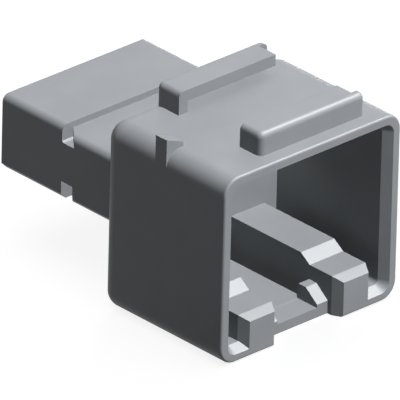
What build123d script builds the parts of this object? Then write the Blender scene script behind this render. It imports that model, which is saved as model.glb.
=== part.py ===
"""Plug housing with a hooded mouth, a mounting-clip channel on its roof and four tab contacts.

The housing is one moulding. Its mouth faces -Y, its wire end faces +Y and +Z is up. The origin is
under the middle of the housing, in the plane that it stands on. Depths are measured back from the
mouth, heights from the underside. All sizes are in millimetres.
"""

import os

from build123d import *

os.makedirs("parts", exist_ok=True)

# Hood, the open box that takes the mating connector
hood_width = 20.0
hood_height = 17.3
hood_depth = 14.7
side_wall = 1.35
roof_wall = 1.35
floor_wall = 1.25
rear_wall = 1.4
hood_corner_radius = 1.6
hood_rear_radius = 1.4
rim_radius = 0.22
inner_corner_radius = 0.4
lead_in_width = 0.55
lead_in_depth = 0.85

# Guide ribs on the hood's floor, either side of the latch channel
rib_spacing = 10.7
rib_width = 3.8
rib_high = 4.4
rib_low = 3.65
rib_nose_height = 3.25
rib_nose_length = 0.95
rib_nose_chamfer = 0.5
rib_low_length = 3.65
rib_ramp_length = 1.1

# Latch channel between the ribs, with its plate, lock ramps and core slots
plate_setback = 1.4
plate_thickness = 0.9
plate_step_depth = 3.8
plate_step_chamfer = 0.12
ramp_width = 1.2
ramp_front_height = 1.2
ramp_height = 2.3
ramp_crest_depth = 2.8
ramp_rear_depth = 3.7
ramp_crest_radius = 0.4

# Clip channel on the roof
channel_left = 4.7
channel_length = 10.95
web_overrun = 0.95
channel_front = 1.45
web_thickness = 0.75
web_spacing = 11.2
front_lip_reach = 1.75
rear_lip_reach = 2.05
lip_thickness = 1.05
lip_clearance = 1.05
stop_length = 1.0
rail_edge_radius = 0.5
rail_corner_radius = 0.55

# Tooth on the left roof edge
tooth_depth = 7.1
tooth_length = 1.35
tooth_rise = 1.12
tooth_end_rise = 0.4
tooth_reach = 1.86

# Contact block behind the hood: a neck, then the taller wire end
block_width = 16.4
block_bottom = 6.55
neck_top = 12.95
neck_length = 7.0
wire_end_top = 13.5
wire_end_length = 7.4
block_top_radius = 0.65
block_bottom_chamfer = 0.55
corner_slot_front = 20.25
corner_slot_length = 1.45
corner_slot_reach = 1.25
side_spine_bottom = 8.29
side_spine_top = 11.93
slot_foot_chamfer = 0.15

# Contact cavities
contact_count = 4
contact_pitch = 3.4
contact_axis_height = 10.7
cavity_width = 2.2
cavity_height = 2.2
front_stop = 0.7
tab_opening_width = 1.8
tab_opening_height = 0.95
wire_entry_chamfer = 0.3
lance_tip_depth = 16.0
lance_length = 4.0
lance_width = 1.2
lance_thickness = 0.7
lance_flex_gap = 0.9
lance_side_gap = 0.25
lance_hook_height = 0.45
lance_hook_flat = 0.3
lance_hook_length = 1.0

# Tab contact, folded from sheet
tab_length = 4.5
tab_thickness = 0.64
tab_tip_length = 0.6
tab_tip_inset = 0.2
tab_root_length = 1.6
contact_side_clearance = 0.1
contact_top_clearance = 0.2
contact_sheet = 0.25
contact_box_length = 6.6
contact_seam = 0.1
contact_lance_clearance = 0.05
contact_lance_hole_length = 1.3
contact_neck_length = 1.8
crimp_width = 1.5
crimp_height = 1.2
crimp_length = 2.4
crimp_radius = 0.45
crimp_gap = 0.7
grip_width = 2.0
grip_height = 1.9
grip_length = 1.9
grip_radius = 0.7

total_length = hood_depth + neck_length + wire_end_length
mouth_y = -total_length / 2
wire_end_front = hood_depth + neck_length
front_web_depth = channel_front
rear_web_depth = channel_front + web_thickness + web_spacing
inner_width = hood_width - 2 * side_wall
inner_height = hood_height - roof_wall - floor_wall
inner_depth = hood_depth - rear_wall
channel_half = rib_spacing / 2 - rib_width / 2
plate_half = channel_half - ramp_width
cavity_floor = contact_axis_height - cavity_height / 2
contact_front = inner_depth + front_stop
contact_width = cavity_width - 2 * contact_side_clearance
contact_height = cavity_height - contact_top_clearance
tab_height = cavity_floor + contact_height / 2


def along(section, front, back):
    """Runs a sketch of the cross-section (across, height) from one depth to another."""
    plane = Plane(origin=(0, mouth_y + back, 0), x_dir=(1, 0, 0), z_dir=(0, -1, 0))
    return extrude(plane * section, back - front)


def across(profile, left, right):
    """Runs a sketch of a side profile (depth, height) from one place across to another."""
    plane = Plane(origin=(left, mouth_y, 0), x_dir=(0, 1, 0), z_dir=(1, 0, 0))
    return extrude(plane * profile, right - left)


def upward(plan, bottom, top):
    """Runs a sketch of a plan (across, depth) from one height to another."""
    return extrude(Pos(0, mouth_y, bottom) * plan, top - bottom)


def outline(*points):
    """A face bounded by straight lines through the points."""
    return make_face(Polyline(*points, close=True))


def window(left, right, bottom, top):
    """A rectangular face given by its four sides."""
    return Pos((left + right) / 2, (bottom + top) / 2) * Rectangle(right - left, top - bottom)


def edges_near(part, axis, place, tolerance=1e-4):
    """Edges that lie wholly at one place along an axis."""
    edges = part if isinstance(part, ShapeList) else part.edges()
    return edges.filter_by(
        lambda edge: all(abs((edge @ share).dot(axis.direction) - place) < tolerance for share in (0, 0.5, 1))
    )


def hood_shell():
    """The open box, rounded outside, with a lead-in round the inside of its mouth."""
    centre = Pos(0, hood_height / 2)
    body = along(centre * RectangleRounded(hood_width, hood_height, hood_corner_radius), 0, hood_depth)
    body = fillet(edges_near(body, Axis.Y, mouth_y + hood_depth), hood_rear_radius)
    body = fillet(edges_near(body, Axis.Y, mouth_y), rim_radius)
    inner_centre = Pos(0, floor_wall + inner_height / 2)
    inside = inner_centre * RectangleRounded(inner_width, inner_height, inner_corner_radius)
    body -= along(inside, -1, inner_depth)
    wide = inner_centre * RectangleRounded(
        inner_width + 2 * lead_in_width,
        inner_height + 2 * lead_in_width,
        inner_corner_radius + lead_in_width,
    )
    mouth_plane = Plane(origin=(0, mouth_y, 0), x_dir=(1, 0, 0), z_dir=(0, -1, 0))
    throat_plane = mouth_plane.offset(-lead_in_depth)
    body -= loft(Sketch() + [mouth_plane * wide, throat_plane * inside])
    return body


def guide_rib(side):
    """One stepped rib, chamfered at its nose. side is -1 for the left rib and 1 for the right."""
    profile = outline(
        (0, rim_radius),
        (0, rib_nose_height),
        (rib_nose_length, rib_low),
        (rib_low_length, rib_low),
        (rib_low_length + rib_ramp_length, rib_high),
        (inner_depth + rear_wall / 2, rib_high),
        (inner_depth + rear_wall / 2, rim_radius),
    )
    middle = side * rib_spacing / 2
    left = middle - rib_width / 2
    right = middle + rib_width / 2
    plan = outline(
        (left + rib_nose_chamfer, 0),
        (right - rib_nose_chamfer, 0),
        (right, rib_nose_length),
        (right, hood_depth),
        (left, hood_depth),
        (left, rib_nose_length),
    )
    return across(profile, left, right) & upward(plan, 0, rib_high + 1)


def lock_ramp(side):
    """A ramp beside the rib, with a lead-in face toward the mouth and an upright locking face behind."""
    with_corner = Polyline(
        (plate_setback, 0),
        (plate_setback, ramp_front_height),
        (ramp_crest_depth, ramp_height),
        (ramp_rear_depth, ramp_height),
        (ramp_rear_depth, 0),
        close=True,
    )
    profile = make_face(with_corner)
    crest = profile.vertices().filter_by(lambda v: abs(v.X - ramp_crest_depth) < 1e-4)
    profile = fillet(crest, ramp_crest_radius)
    places = sorted((side * plate_half, side * channel_half))
    return across(profile, places[0], places[1])


def latch_channel(body):
    """Cuts the notch at the mouth, the stepped plate and the two core slots, and adds the lock ramps."""
    notch = outline(
        (-channel_half - rib_nose_chamfer, 0),
        (-channel_half - rib_nose_chamfer, -1),
        (channel_half + rib_nose_chamfer, -1),
        (channel_half + rib_nose_chamfer, 0),
        (channel_half, rib_nose_length),
        (channel_half, plate_setback),
        (-channel_half, plate_setback),
        (-channel_half, rib_nose_length),
    )
    body -= upward(notch, -1, rib_high)
    step = outline(
        (plate_setback - 1, plate_thickness),
        (plate_step_depth, plate_thickness),
        (plate_step_depth + plate_step_chamfer, floor_wall),
        (plate_step_depth + plate_step_chamfer, ramp_height),
        (plate_setback - 1, ramp_height),
    )
    body -= across(step, -channel_half, channel_half)
    for side in (-1, 1):
        places = sorted((side * plate_half, side * channel_half))
        body -= along(window(places[0], places[1], -1, ramp_height), ramp_rear_depth, hood_depth + 1)
        body += lock_ramp(side)
    return body


def rail(web_depth, lip_direction, lip_reach):
    """One rail of the clip channel: a web with a lip over the channel and a stop at its left end."""
    left = -channel_left
    lip_end = left + channel_length
    web_end = lip_end + web_overrun
    bottom = hood_height - hood_rear_radius
    lip_bottom = hood_height + lip_clearance
    top = lip_bottom + lip_thickness
    outer = web_depth if lip_direction > 0 else web_depth + web_thickness
    inner = outer + lip_direction * web_thickness
    lip_edge = inner + lip_direction * lip_reach
    plan = outline(
        (left, outer),
        (web_end, outer),
        (web_end, inner),
        (lip_end, inner),
        (lip_end, lip_edge),
        (left, lip_edge),
    )
    outer_corners = plan.vertices().filter_by(lambda v: abs(v.Y - outer) < 1e-4)
    plan = fillet(outer_corners, rail_corner_radius)
    body = upward(plan, bottom, top)
    outer_edge = edges_near(edges_near(body, Axis.Z, top), Axis.Y, mouth_y + outer)
    body = fillet(outer_edge, rail_edge_radius)
    pocket_depths = sorted((inner, lip_edge + lip_direction))
    pocket = window(left + stop_length, web_end + 1, pocket_depths[0], pocket_depths[1])
    return body - upward(pocket, bottom - 1, lip_bottom)


def roof_tooth():
    """A small wedge that squares out the rounded left roof edge."""
    section = outline(
        (-hood_width / 2, hood_height - hood_corner_radius),
        (-hood_width / 2, hood_height + tooth_rise),
        (-hood_width / 2 + tooth_reach, hood_height + tooth_end_rise),
        (-hood_width / 2 + tooth_reach, hood_height - hood_corner_radius),
    )
    return along(section, tooth_depth, tooth_depth + tooth_length)


def contact_block():
    """The neck and the taller wire end, with a slot across each of the four long corners."""
    root = inner_depth + rear_wall / 2

    def section(top):
        shape = window(-block_width / 2, block_width / 2, block_bottom, top)
        shape = fillet(shape.vertices().group_by(Axis.Y)[-1], block_top_radius)
        return chamfer(shape.vertices().group_by(Axis.Y)[0], block_bottom_chamfer)

    body = along(section(neck_top), root, wire_end_front)
    body += along(section(wire_end_top), wire_end_front, total_length)
    slot_back = corner_slot_front + corner_slot_length
    foot = outline(
        (slot_back - slot_foot_chamfer, side_spine_top),
        (slot_back + 1, side_spine_top),
        (slot_back + 1, side_spine_top + slot_foot_chamfer + 1),
    )
    for side in (-1, 1):
        flank = side * block_width / 2
        beyond = flank + side
        inside = flank - side * corner_slot_reach
        plan = outline(
            (beyond, corner_slot_front - 1),
            (beyond, slot_back),
            (inside, slot_back),
            (flank, corner_slot_front),
        )
        places = sorted((beyond, inside))
        body -= upward(plan, side_spine_top, wire_end_top + 1) - across(foot, places[0], places[1])
        body -= upward(plan, block_bottom - 1, side_spine_bottom)
    return body


def cavity_places():
    """Where the contacts stand across the block."""
    first = -(contact_count - 1) / 2 * contact_pitch
    return [first + number * contact_pitch for number in range(contact_count)]


def cavity(place):
    """The passage for one contact, open at the wire end, with a slot through the front stop for its tab."""
    half = cavity_width / 2
    roof = cavity_floor + cavity_height
    cut = along(window(place - half, place + half, cavity_floor, roof), contact_front, total_length + 1)
    opening = Pos(place, tab_height) * Rectangle(tab_opening_width, tab_opening_height)
    cut += along(opening, inner_depth - 1, contact_front)
    entry_plane = Plane(origin=(0, mouth_y + total_length, 0), x_dir=(1, 0, 0), z_dir=(0, -1, 0))
    entry = Pos(place, contact_axis_height) * Rectangle(cavity_width, cavity_height)
    wide_entry = Pos(place, contact_axis_height) * Rectangle(
        cavity_width + 2 * wire_entry_chamfer, cavity_height + 2 * wire_entry_chamfer
    )
    cut += loft(Sketch() + [entry_plane * wide_entry, entry_plane.offset(wire_entry_chamfer) * entry])
    return cut


def lance_window(place):
    """The space round one locking lance, open at the back of the hood for the tool that frees a contact."""
    half = lance_width / 2 + lance_side_gap
    flex_bottom = cavity_floor - lance_thickness - lance_flex_gap
    root = lance_tip_depth + lance_length
    profile = outline(
        (inner_depth - 1, flex_bottom),
        (root - lance_flex_gap, flex_bottom),
        (root, flex_bottom + lance_flex_gap),
        (root, cavity_floor + 0.1),
        (inner_depth - 1, cavity_floor + 0.1),
    )
    return across(profile, place - half, place + half)


def lance(place):
    """A springy beam under one contact, rooted at the wire side, its hook reaching up at the free end."""
    root = lance_tip_depth + lance_length
    bottom = cavity_floor - lance_thickness
    profile = outline(
        (lance_tip_depth, bottom),
        (root + 0.1, bottom),
        (root + 0.1, cavity_floor),
        (lance_tip_depth + lance_hook_length, cavity_floor),
        (lance_tip_depth + lance_hook_flat, cavity_floor + lance_hook_height),
        (lance_tip_depth, cavity_floor + lance_hook_height),
    )
    return across(profile, place - lance_width / 2, place + lance_width / 2)


def build_housing():
    """Joins the hood, its inner features, the roof rails and the block, then cuts the cavities."""
    body = hood_shell()
    body += guide_rib(-1)
    body += guide_rib(1)
    body = latch_channel(body)
    body += rail(front_web_depth, 1, front_lip_reach)
    body += rail(rear_web_depth, -1, rear_lip_reach)
    body += roof_tooth()
    body += contact_block()
    for place in cavity_places():
        body -= cavity(place)
        body -= lance_window(place)
        body += lance(place)
    return body


def contact_box(place):
    """The folded box behind the tab, with its seam on top and its lance hole below."""
    back = contact_front + contact_box_length
    middle = Pos(place, tab_height)
    section = middle * RectangleRounded(contact_width, contact_height, contact_sheet)
    section -= middle * Rectangle(contact_width - 2 * contact_sheet, contact_height - 2 * contact_sheet)
    seam_half = contact_seam / 2
    section -= window(place - seam_half, place + seam_half, tab_height, tab_height + contact_height)
    body = along(section, contact_front, back)
    hole_half = lance_width / 2 + contact_lance_clearance
    hole_front = lance_tip_depth - contact_lance_clearance
    hole = window(place - hole_half, place + hole_half, cavity_floor - 1, tab_height)
    return body - along(hole, hole_front, hole_front + contact_lance_hole_length)


def tab(place):
    """The flat tab that stands into the hood, folded double and drawn in at its tip."""
    width = contact_width - 2 * contact_sheet
    tip = inner_depth - tab_length
    shoulder = tip + tab_tip_length
    full = Pos(place, tab_height) * Rectangle(width, tab_thickness)
    small = Pos(place, tab_height) * Rectangle(width - 2 * tab_tip_inset, tab_thickness - 2 * tab_tip_inset)
    tip_plane = Plane(origin=(0, mouth_y + tip, 0), x_dir=(1, 0, 0), z_dir=(0, -1, 0))
    point = loft(Sketch() + [tip_plane * small, tip_plane.offset(-tab_tip_length) * full])
    return along(full, shoulder, contact_front + tab_root_length) + point


def barrel(place, width, height, radius, front, length):
    """One crimp barrel, rolled shut round the place of the wire, with its seam on top."""
    middle = Pos(place, cavity_floor + height / 2)
    section = middle * RectangleRounded(width, height, radius)
    section -= middle * RectangleRounded(
        width - 2 * contact_sheet, height - 2 * contact_sheet, radius - contact_sheet
    )
    section -= window(
        place - contact_seam / 2,
        place + contact_seam / 2,
        cavity_floor + height / 2,
        cavity_floor + height + 1,
    )
    return along(section, front, front + length)


def neck(place, front, back):
    """The open channel that narrows from the box to the conductor crimp."""
    wide = contact_width / 2
    narrow = crimp_width / 2
    high = cavity_floor + contact_height
    low = cavity_floor + crimp_height / 2
    profile = outline((front, cavity_floor), (back, cavity_floor), (back, low), (front, high))
    plan = outline(
        (place - wide, front),
        (place + wide, front),
        (place + narrow, back),
        (place - narrow, back),
    )
    hollow = outline(
        (place - wide + contact_sheet, front),
        (place + wide - contact_sheet, front),
        (place + narrow - contact_sheet, back),
        (place - narrow + contact_sheet, back),
    )
    body = across(profile, place - wide, place + wide) & upward(plan, cavity_floor, high)
    return body - upward(hollow, cavity_floor + contact_sheet, high + 1)


def build_contact(place):
    """One tab contact: tab, box, neck, conductor crimp and insulation grip in a single folded sheet."""
    box_back = contact_front + contact_box_length
    crimp_front = box_back + contact_neck_length
    grip_front = crimp_front + crimp_length + crimp_gap
    body = contact_box(place) + tab(place)
    body += neck(place, box_back, crimp_front)
    body += barrel(place, crimp_width, crimp_height, crimp_radius, crimp_front, crimp_length)
    strip = window(
        place - crimp_width / 2 + crimp_radius,
        place + crimp_width / 2 - crimp_radius,
        cavity_floor,
        cavity_floor + contact_sheet,
    )
    body += along(strip, crimp_front + crimp_length, grip_front)
    body += barrel(place, grip_width, grip_height, grip_radius, grip_front, grip_length)
    return body


housing = build_housing()
housing.label = "housing"
export_step(housing, "parts/housing.step")
print("housing", housing.volume, housing.bounding_box().size, len(housing.solids()), housing.is_valid)
first_contact = build_contact(0)
for number, place in enumerate(cavity_places(), start=1):
    contact = Pos(place, 0, 0) * first_contact
    contact.label = f"contact_{number}"
    export_step(contact, f"parts/contact_{number}.step")
    print(contact.label, contact.volume, contact.center(), len(contact.solids()), contact.is_valid)
print("housing centre", housing.center())
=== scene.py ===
# %% [markdown]
# # A hooded connector housing in soft studio light
# This lesson dresses a finished CAD model for its picture. The frame holds five pieces: one moulded
# housing and four metal contacts. Their shapes come from the CAD and stay as they are. Blender gives
# them materials, light, a floor and a camera that stands where the photograph's camera stood.

# %% Open the frame
import math

import bpy
from mathutils import Matrix, Vector

MM = 0.001

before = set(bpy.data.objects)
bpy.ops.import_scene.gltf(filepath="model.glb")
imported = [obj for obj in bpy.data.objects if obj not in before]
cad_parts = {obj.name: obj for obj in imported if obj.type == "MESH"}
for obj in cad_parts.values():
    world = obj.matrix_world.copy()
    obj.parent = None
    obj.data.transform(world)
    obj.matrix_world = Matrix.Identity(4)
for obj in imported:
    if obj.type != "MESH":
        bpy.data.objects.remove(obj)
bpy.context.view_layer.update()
print("nodes:", sorted(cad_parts))

# %% [markdown]
# ## Camera
# The photograph is drawn almost without perspective, so the camera stands well back behind a long
# lens. It stands no further off than 1.5 m, because the turned views use the same lens, and from
# beyond 2 m they no longer show the object. Its direction, its roll, its scale and its aim were fitted
# to the photograph's own edges. The anchor is a point in the middle of the housing, with the pixel
# that it falls on.

# %% Camera
CAMERA_AZIMUTH = math.radians(-43.54)
CAMERA_ELEVATION = math.radians(27.36)
CAMERA_ROLL = math.radians(1.435)
CAMERA_DISTANCE = 1.5
CLIP_RANGE = (0.1, 40.0)
SENSOR_WIDTH = 36.0
PICTURE_PIXELS = 400
PIXELS_PER_MM = 11.977
PIXEL = MM / PIXELS_PER_MM
ANCHOR = Vector((0.0, 2.45, 9.0)) * MM
ANCHOR_PIXEL = (171.88, 164.10)


def camera_axes():
    """The camera's right, up and back directions, roll included."""
    back = Vector((
        math.sin(CAMERA_AZIMUTH) * math.cos(CAMERA_ELEVATION),
        -math.cos(CAMERA_AZIMUTH) * math.cos(CAMERA_ELEVATION),
        math.sin(CAMERA_ELEVATION),
    ))
    level = Vector((0, 0, 1)).cross(back).normalized()
    raised = back.cross(level)
    right = math.cos(CAMERA_ROLL) * level + math.sin(CAMERA_ROLL) * raised
    up = math.cos(CAMERA_ROLL) * raised - math.sin(CAMERA_ROLL) * level
    return right, up, back


def add_camera():
    """A camera whose picture puts the anchor point on its pixel."""
    right, up, back = camera_axes()
    across = (ANCHOR_PIXEL[0] - PICTURE_PIXELS / 2) * PIXEL
    down = (ANCHOR_PIXEL[1] - PICTURE_PIXELS / 2) * PIXEL
    aim = ANCHOR - right * across + up * down
    data = bpy.data.cameras.new("camera")
    data.type = "PERSP"
    data.sensor_width = SENSOR_WIDTH
    data.lens = SENSOR_WIDTH * CAMERA_DISTANCE / (PICTURE_PIXELS * PIXEL)
    data.clip_start, data.clip_end = CLIP_RANGE
    camera = bpy.data.objects.new("camera", data)
    bpy.context.scene.collection.objects.link(camera)
    turned = Matrix((right, up, back)).transposed().to_4x4()
    camera.matrix_world = Matrix.Translation(aim + back * CAMERA_DISTANCE) @ turned
    bpy.context.scene.camera = camera
    return camera


camera = add_camera()
print("lens in mm:", round(camera.data.lens))

# %% [markdown]
# ## A small shader kit
# Each material is a node tree on a Principled shader. These helpers start a tree, add a node to it and
# set several of its inputs at once, so that every material below stays short.

# %% Shader helpers


def new_material(name):
    """An empty material with its output and a Principled shader."""
    material = bpy.data.materials.new(name)
    material.use_nodes = True
    tree = material.node_tree
    tree.nodes.clear()
    output = tree.nodes.new("ShaderNodeOutputMaterial")
    shader = tree.nodes.new("ShaderNodeBsdfPrincipled")
    tree.links.new(shader.outputs["BSDF"], output.inputs["Surface"])
    return material, tree, shader


def add(tree, kind, **properties):
    """A node with some of its own properties set."""
    node = tree.nodes.new(kind)
    for name, value in properties.items():
        setattr(node, name, value)
    return node


def fill(node, values):
    """Gives inputs of a node their fixed values, by the inputs' names."""
    for name, value in values.items():
        node.inputs[name].default_value = value


print("shader kit:", [helper.__name__ for helper in (new_material, add, fill)])

# %% [markdown]
# ## Patterns for the surfaces
# A moulded or rolled surface is never quite even. Noise on Object coordinates stays fixed to the piece
# when it moves. The middle of the noise is spread over the span that a roughness or a colour needs,
# and as a bump the noise gives the fine grain.

# %% Pattern helpers
NOISE_MIDDLE = (0.3, 0.7)


def object_noise(tree, scale, detail, stretch=(1, 1, 1)):
    """Noise fixed to the object, with scale in features per millimetre."""
    place = add(tree, "ShaderNodeTexCoord")
    mapping = add(tree, "ShaderNodeMapping")
    fill(mapping, {"Scale": [value / MM for value in stretch]})
    noise = add(tree, "ShaderNodeTexNoise")
    fill(noise, {"Scale": scale, "Detail": detail})
    tree.links.new(place.outputs["Object"], mapping.inputs["Vector"])
    tree.links.new(mapping.outputs["Vector"], noise.inputs["Vector"])
    return noise.outputs["Fac"]


def spread(tree, source, low, high):
    """Maps the middle of a noise on to the span from low to high."""
    first, last = NOISE_MIDDLE
    ramp = add(tree, "ShaderNodeMapRange")
    fill(ramp, {"From Min": first, "From Max": last, "To Min": low, "To Max": high})
    tree.links.new(source, ramp.inputs["Value"])
    return ramp.outputs["Result"]


def tint(tree, source, dark, light):
    """A colour that wanders between dark and light with a noise."""
    mix = add(tree, "ShaderNodeMix", data_type="RGBA")
    fill(mix, {"A": (*dark, 1), "B": (*light, 1)})
    tree.links.new(spread(tree, source, 0, 1), mix.inputs["Factor"])
    return mix.outputs["Result"]


def roughen(tree, shader, height, strength, distance):
    """Lets a noise stand out of the surface as a fine bump."""
    bump = add(tree, "ShaderNodeBump")
    fill(bump, {"Strength": strength, "Distance": distance})
    tree.links.new(height, bump.inputs["Height"])
    tree.links.new(bump.outputs["Normal"], shader.inputs["Normal"])


print("pattern kit:", [helper.__name__ for helper in (object_noise, spread, tint, roughen)])

# %% [markdown]
# ## Moulded plastic
# The housing is a matt engineering plastic. A fine grain of about a tenth of a millimetre comes from
# the spark-eroded mould, and a broad, weak cloud keeps the large faces from looking like paper.

# %% Housing material
PLASTIC_DARK = (0.146, 0.155, 0.164)
PLASTIC_LIGHT = (0.158, 0.167, 0.176)
PLASTIC_ROUGHNESS = (0.46, 0.54)
PLASTIC_IOR = 1.5
PLASTIC_SPECULAR = 0.2
CLOUD_SCALE = 0.25
GRAIN_SCALE = 9.0
GRAIN_STRENGTH = 0.10
GRAIN_DEPTH = 0.02 * MM


def moulded_plastic():
    """Grey moulded plastic with spark-eroded grain."""
    material, tree, shader = new_material("moulded_plastic")
    cloud = object_noise(tree, CLOUD_SCALE, detail=2.0)
    grain = object_noise(tree, GRAIN_SCALE, detail=2.0)
    fill(shader, {"IOR": PLASTIC_IOR, "Specular IOR Level": PLASTIC_SPECULAR})
    tree.links.new(tint(tree, cloud, PLASTIC_DARK, PLASTIC_LIGHT), shader.inputs["Base Color"])
    tree.links.new(spread(tree, grain, *PLASTIC_ROUGHNESS), shader.inputs["Roughness"])
    roughen(tree, shader, grain, GRAIN_STRENGTH, GRAIN_DEPTH)
    return material


plastic = moulded_plastic()
print("material:", plastic.name)

# %% [markdown]
# ## Plated contacts
# The contacts are tin-plated brass, stamped from strip. The grain of the rolled strip runs along the
# contact, so its noise is stretched that way. A broad, pale blush makes the plating a little uneven.

# %% Contact material
TIN_DARK = (0.62, 0.59, 0.53)
TIN_LIGHT = (0.74, 0.72, 0.68)
TIN_ROUGHNESS = (0.24, 0.40)
BLUSH_SCALE = 0.4
ROLLED_SCALE = 3.0
ROLLED_STRETCH = (4, 0.25, 4)
ROLLED_STRENGTH = 0.15
ROLLED_DEPTH = 0.01 * MM


def tin_plate():
    """Satin tin plating with a faint rolled grain along the strip."""
    material, tree, shader = new_material("tin_plate")
    blush = object_noise(tree, BLUSH_SCALE, detail=2.0)
    grain = object_noise(tree, ROLLED_SCALE, detail=4.0, stretch=ROLLED_STRETCH)
    fill(shader, {"Metallic": 1.0})
    tree.links.new(tint(tree, blush, TIN_DARK, TIN_LIGHT), shader.inputs["Base Color"])
    tree.links.new(spread(tree, grain, *TIN_ROUGHNESS), shader.inputs["Roughness"])
    roughen(tree, shader, grain, ROLLED_STRENGTH, ROLLED_DEPTH)
    return material


plating = tin_plate()
print("material:", plating.name)

# %% [markdown]
# ## Dress the pieces
# A CAD node is one real piece of one material, so each node gets a single slot. The photograph shows
# no print on the real part, so no decal or label is added.

# %% Materials on the nodes


def dress(node, material):
    """Puts one material on every face of a CAD node."""
    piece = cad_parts[node]
    piece.data.materials.clear()
    piece.data.materials.append(material)


for node in sorted(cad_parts):
    dress(node, plating if node.startswith("contact") else plastic)
    print(node, "wears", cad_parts[node].data.materials[0].name)

# %% [markdown]
# ## Floor and backdrop
# The floor and the world are white to the eye and in reflections, and dim as lights. A Light Path node
# tells the rays apart that come from the camera, by reflection or through glass, so the background can
# be white without more light on the object. By itself the floor glows not quite white. The lights that
# fall on it make up the rest, and where the object keeps them off, a faint shadow stays.

# %% Floor and world
FLOOR_HALF_SIZE = 3.0
FLOOR_DROP = 0.02 * MM
FLOOR_COLOR = (0.5, 0.5, 0.5)
FLOOR_ROUGHNESS = 0.9
FLOOR_GLOW = 0.845
AMBIENT = 0.13
WHITE = (1, 1, 1, 1)


def backdrop_level(tree, hidden, shown):
    """The shown strength for the rays that see the backdrop, and the hidden one for all others."""
    path = add(tree, "ShaderNodeLightPath")
    sees = path.outputs["Is Camera Ray"]
    for kind in ("Is Glossy Ray", "Is Transmission Ray"):
        larger = add(tree, "ShaderNodeMath", operation="MAXIMUM")
        tree.links.new(sees, larger.inputs[0])
        tree.links.new(path.outputs[kind], larger.inputs[1])
        sees = larger.outputs["Value"]
    level = add(tree, "ShaderNodeMapRange")
    fill(level, {"To Min": hidden, "To Max": shown})
    tree.links.new(sees, level.inputs["Value"])
    return level.outputs["Result"]


def floor_paint():
    """A dull, pale paint that glows for the rays that see the backdrop."""
    material, tree, shader = new_material("floor")
    fill(shader, {"Base Color": (*FLOOR_COLOR, 1), "Roughness": FLOOR_ROUGHNESS})
    fill(shader, {"Specular IOR Level": 0.0, "Emission Color": WHITE})
    tree.links.new(backdrop_level(tree, 0.0, FLOOR_GLOW), shader.inputs["Emission Strength"])
    return material


def add_floor():
    """A wide plane just under the object, for the picture only."""
    half = FLOOR_HALF_SIZE
    corners = [(-half, -half, 0), (half, -half, 0), (half, half, 0), (-half, half, 0)]
    mesh = bpy.data.meshes.new("floor")
    mesh.from_pydata(corners, [], [(0, 1, 2, 3)])
    mesh.materials.append(floor_paint())
    floor = bpy.data.objects.new("floor", mesh)
    floor.location.z = -FLOOR_DROP
    bpy.context.scene.collection.objects.link(floor)
    return floor


def set_world():
    """A world that is white to the eye and in reflections, and dim as a light."""
    world = bpy.data.worlds.new("studio")
    bpy.context.scene.world = world
    world.use_nodes = True
    tree = world.node_tree
    background = tree.nodes["Background"]
    fill(background, {"Color": WHITE})
    tree.links.new(backdrop_level(tree, AMBIENT, 1.0), background.inputs["Strength"])
    return world


floor = add_floor()
world = set_world()
print("backdrop:", floor.name, "and", world.name)

# %% [markdown]
# ## Soft boxes
# The photograph's own faces tell where its light stands: the roof is light, the front faces are grey
# and the left side is dark. The key, high in front, does nearly all the work. The card beside it only
# shows as a reflection, and gives the forward-leaning faces and the rounded rim their bright lines.
# The back light shows only in views from the right and from behind. The key and the card cast no
# shadows, because the photograph has none inside the hood. They leave out the floor, so that it
# doesn't throw their light back up.

# %% Soft boxes
TARGET = Vector((0, 0, 9)) * MM
LIGHT_DISTANCE = 0.5
LIGHTS = {
    "key": {"toward": (0.15, -0.56, 0.815), "size": 0.12, "power": 6.1},
    "card": {"toward": (0.60, -0.20, 0.775), "size": 0.15, "power": 9.0},
    "back": {"toward": (0.86, 0.50, 0.03), "size": 0.15, "power": 2.2},
}


def add_light(name, toward, size, power):
    """A square soft box that faces the object."""
    data = bpy.data.lights.new(name, "AREA")
    data.shape = "SQUARE"
    data.size = size
    data.energy = power
    light = bpy.data.objects.new(name, data)
    bpy.context.scene.collection.objects.link(light)
    direction = Vector(toward).normalized()
    light.location = TARGET + direction * LIGHT_DISTANCE
    light.rotation_euler = direction.to_track_quat("Z", "Y").to_euler()
    return light


def leave_out(light, piece):
    """Keeps a light off one object."""
    group = bpy.data.collections.new(light.name + "_leaves_out")
    group.objects.link(piece)
    group.collection_objects[0].light_linking.link_state = "EXCLUDE"
    light.light_linking.receiver_collection = group


lights = {name: add_light(name, **values) for name, values in LIGHTS.items()}
for name in ("key", "card"):
    lights[name].data.use_shadow = False
    leave_out(lights[name], floor)
lights["card"].visible_diffuse = False
lights["back"].visible_glossy = False
print("soft boxes:", list(lights))

# %% [markdown]
# ## Sky
# The sky casts the faint shadow on the floor. It is a sun lamp with a wide angle and not a large soft
# box, which would leave a bright pool in the middle of the floor and a grey rim around it.

# %% Sky
SKY_STRENGTH = 0.63
SKY_ANGLE = math.radians(60)


def add_sky():
    """A weak and very soft light from straight above, alike over the whole floor."""
    data = bpy.data.lights.new("sky", "SUN")
    data.energy = SKY_STRENGTH
    data.angle = SKY_ANGLE
    sky = bpy.data.objects.new("sky", data)
    bpy.context.scene.collection.objects.link(sky)
    return sky


sky = add_sky()
print("sky angle in degrees:", round(math.degrees(sky.data.angle)))

# %% [markdown]
# ## Colour handling
# The picture uses the plain view transform, so a white floor stays white.

# %% Finish
bpy.context.scene.view_settings.view_transform = "Standard"
